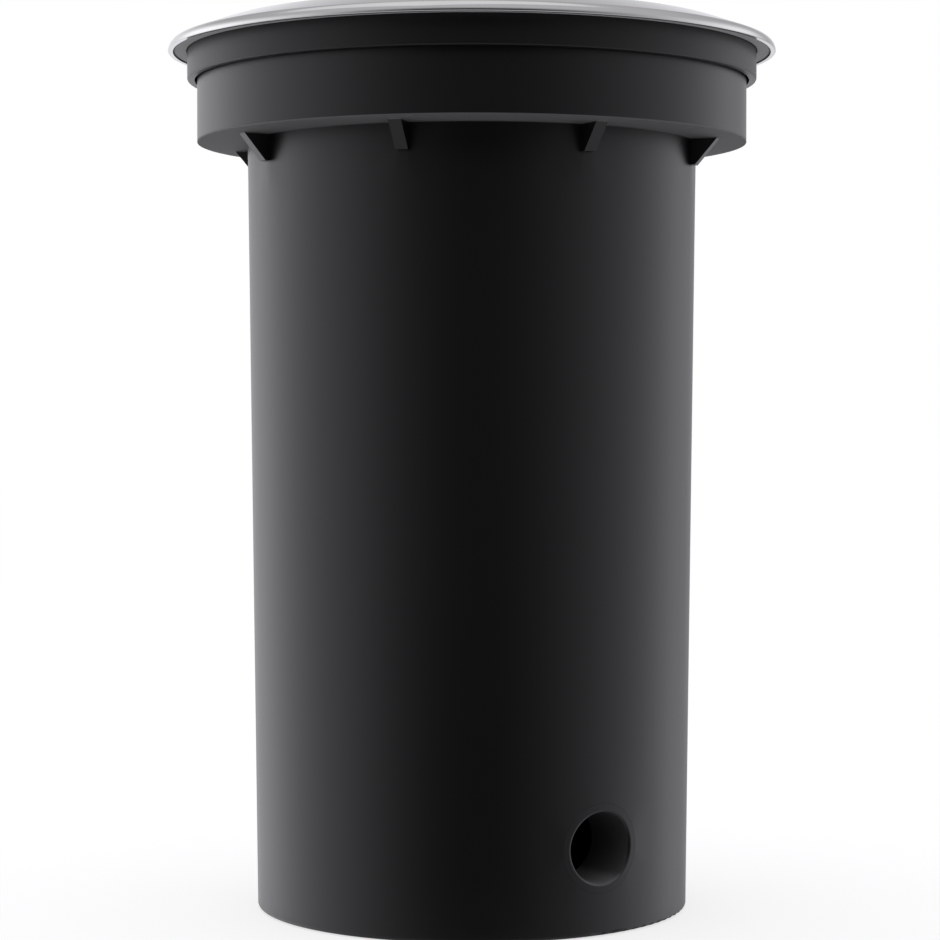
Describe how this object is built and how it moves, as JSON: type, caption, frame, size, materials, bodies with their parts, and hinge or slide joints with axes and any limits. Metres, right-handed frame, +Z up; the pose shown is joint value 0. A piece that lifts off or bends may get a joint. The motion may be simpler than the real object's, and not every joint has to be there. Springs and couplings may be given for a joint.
{
  "type": "in ground well light",
  "caption": "Buried well light: drafted black sleeve with gusseted collar and conduit hub, bevelled polished trim, flush glass and an aimable lamp head in a finned can.",
  "frame": {"origin": "centre of the sleeve's flat base", "axes": "+Z up along the sleeve, out of the ground; -Y out of the conduit entry; +X to its right seen from in front"},
  "size_m": [0.2, 0.2, 0.2892],
  "materials": {
    "black_composite": "satin moulded",
    "black_casting": "satin powder coat",
    "polished_stainless": "polished",
    "screw_steel": "bright",
    "toughened_glass": "polished",
    "sealing_rubber": "matt",
    "bare_aluminium": "anodised",
    "black_anodised": "black anodised",
    "bright_aluminium": "mirror bright",
    "board_white": "white solder mask",
    "phosphor": "satin",
    "clear_optic": "clear",
    "ivory_plastic": "moulded",
    "grey_plastic": "moulded",
    "nickel_brass": "nickel plated",
    "brass": "bright",
    "acetal": "smooth",
    "spring_steel": "blackened"
  },
  "bodies": {
    "housing": {"well_sleeve": "black_composite", "conduit_hub": "black_composite", "collar_gasket": "sealing_rubber", "mounting_ring": "black_casting", "ring_screws": "screw_steel", "trim_ring": "polished_stainless", "trim_screws": "screw_steel", "trim_seal": "sealing_rubber", "glass_lens": "toughened_glass", "glass_gasket": "sealing_rubber", "lamp_can": "black_casting", "can_o_ring": "sealing_rubber", "can_screws": "screw_steel", "snap_ring": "spring_steel", "friction_washer": "acetal", "driver_case": "grey_plastic", "driver_lid": "grey_plastic", "driver_screws": "screw_steel", "terminal_block": "ivory_plastic", "terminal_screws": "brass", "terminal_fixings": "screw_steel", "earth_screw": "brass", "earth_washer": "brass", "gland_body": "nickel_brass", "gland_washer": "sealing_rubber", "gland_locknut": "nickel_brass", "gland_seal": "sealing_rubber", "gland_cap": "nickel_brass"},
    "turntable": {"aiming_ring": "bare_aluminium"},
    "lamp_head": {"heat_sink": "black_anodised", "pivot_washers": "acetal", "pivot_screws": "screw_steel", "lamp_barrel": "black_anodised", "lens_bezel": "black_anodised", "optic_lens": "clear_optic", "reflector": "bright_aluminium", "led_board": "board_white", "led_emitter": "phosphor", "led_holder": "ivory_plastic", "holder_screws": "screw_steel"}
  },
  "joints": [
    {"name": "aim_turn", "type": "hinge", "parent": "housing", "child": "turntable", "pos_m": [0, 0, 0.226], "axis": [0, 0, 1], "range_deg": [-175, 175]},
    {"name": "aim_tilt", "type": "hinge", "parent": "turntable", "child": "lamp_head", "pos_m": [0, 0, 0.236], "axis": [1, 0, 0], "range_deg": [-15, 15]}
  ]
}
